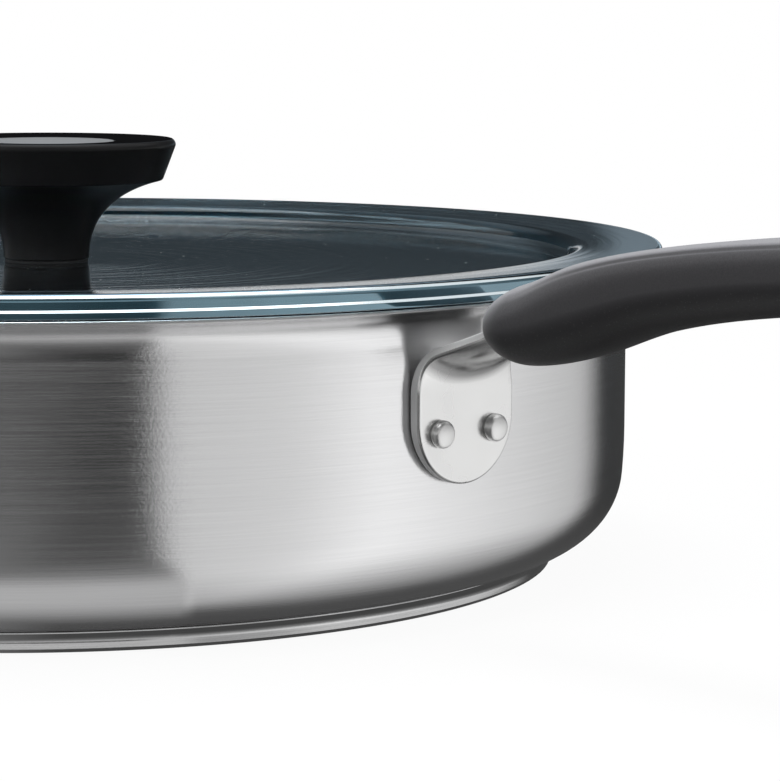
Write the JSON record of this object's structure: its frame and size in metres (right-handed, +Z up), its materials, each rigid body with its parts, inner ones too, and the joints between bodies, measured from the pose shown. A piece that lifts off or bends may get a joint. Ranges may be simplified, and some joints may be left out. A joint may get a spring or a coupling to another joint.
{
  "type": "saute pan with lid",
  "caption": "Straight-sided steel saute pan on a bonded base, with a riveted long handle and a stepped glass lid that lifts off by a flared knob.",
  "frame": {"origin": "centre of the base's underside, on the pan's axis", "axes": "+Z up along the pan's axis, +X along the handle away from the pan"},
  "size_m": [0.487, 0.2982, 0.1014],
  "materials": {
    "steel": "brushed round the pan",
    "polished": "polished",
    "aluminium": "plain",
    "brass": "plain",
    "black": "satin",
    "grip": "soft touch",
    "rubber": "plain",
    "glass": "clear, faint blue tint"
  },
  "bodies": {
    "pan": {"pan_body": "steel", "base_core": "aluminium", "base_cap": "polished", "handle_bracket": "polished", "rivet_left": "polished", "rivet_right": "polished", "handle_grip": "grip"},
    "lid": {"lid_glass": "glass", "knob": "black", "knob_inlay": "steel", "knob_insert": "brass", "upper_gasket": "rubber", "lower_gasket": "rubber", "knob_washer": "polished", "knob_screw": "polished"}
  },
  "joints": [
    {"name": "lid_lift", "type": "slide", "parent": "pan", "child": "lid", "axis": [0, 0, 1], "range_m": [0, 0.15]}
  ]
}
